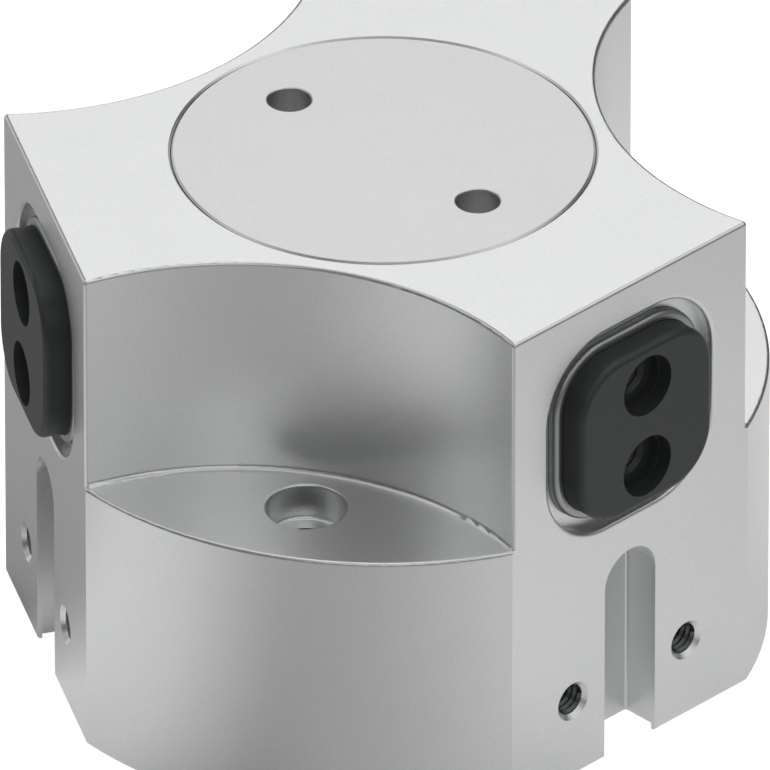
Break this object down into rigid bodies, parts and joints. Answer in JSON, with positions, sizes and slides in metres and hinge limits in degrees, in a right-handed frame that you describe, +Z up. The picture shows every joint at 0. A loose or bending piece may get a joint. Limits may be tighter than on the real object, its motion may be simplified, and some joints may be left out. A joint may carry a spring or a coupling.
{
  "type": "three jaw centric gripper",
  "caption": "Short fluted aluminium body with three dark jaws that slide in and out together, flush round cover, screw ledges, threaded holes and slots for position sensors.",
  "frame": {"origin": "centre line at the bottom face", "axes": "+Z up the centre line towards the cover; +X out through jaw 1, jaws 2 and 3 at 120 and 240 degrees about +Z"},
  "size_m": [0.0571, 0.0582, 0.041],
  "materials": {
    "housing": "fine blasted and clear anodised aluminium",
    "cover": "fine turned and clear anodised aluminium",
    "collar": "fine blasted and clear anodised aluminium",
    "jaw": "hardened, ground and blackened steel",
    "drive_steel": "ground and hardened steel",
    "piston": "turned aluminium",
    "spring_steel": "phosphated spring steel",
    "screw": "black oxide steel",
    "seal": "nitrile rubber",
    "wiper": "polyurethane wiper",
    "guide_ring": "filled PTFE band",
    "magnet": "plastic bonded ferrite",
    "bush": "sintered bronze"
  },
  "bodies": {
    "housing": {"housing": "housing", "top_cover": "cover", "cover_seal": "seal", "end_cap": "cover", "end_cap_seal": "seal", "retaining_ring": "spring_steel", "rod_seal": "seal", "rod_bush": "bush", "jaw_collar_1": "collar", "jaw_wiper_1": "wiper", "jaw_collar_2": "collar", "jaw_wiper_2": "wiper", "jaw_collar_3": "collar", "jaw_wiper_3": "wiper"},
    "piston": {"piston": "piston", "piston_seal": "seal", "magnet_ring": "magnet", "piston_guide_ring": "guide_ring", "wedge": "drive_steel", "wedge_screw": "screw"},
    "jaw_1": {"jaw_1": "jaw"},
    "jaw_2": {"jaw_2": "jaw"},
    "jaw_3": {"jaw_3": "jaw"}
  },
  "joints": [
    {"name": "piston_slide", "type": "slide", "parent": "housing", "child": "piston", "axis": [0, 0, 1], "range_m": [0, 0.006]},
    {"name": "jaw_1_slide", "type": "slide", "parent": "housing", "child": "jaw_1", "axis": [1, 0, 0], "range_m": [0, 0.004]},
    {"name": "jaw_2_slide", "type": "slide", "parent": "housing", "child": "jaw_2", "axis": [-0.5, 0.866, 0], "range_m": [0, 0.004]},
    {"name": "jaw_3_slide", "type": "slide", "parent": "housing", "child": "jaw_3", "axis": [-0.5, -0.866, 0], "range_m": [0, 0.004]}
  ],
  "couplings": [
    {"joint": "jaw_1_slide", "follows": "piston_slide", "ratio": 0.66667},
    {"joint": "jaw_2_slide", "follows": "piston_slide", "ratio": 0.66667},
    {"joint": "jaw_3_slide", "follows": "piston_slide", "ratio": 0.66667}
  ]
}
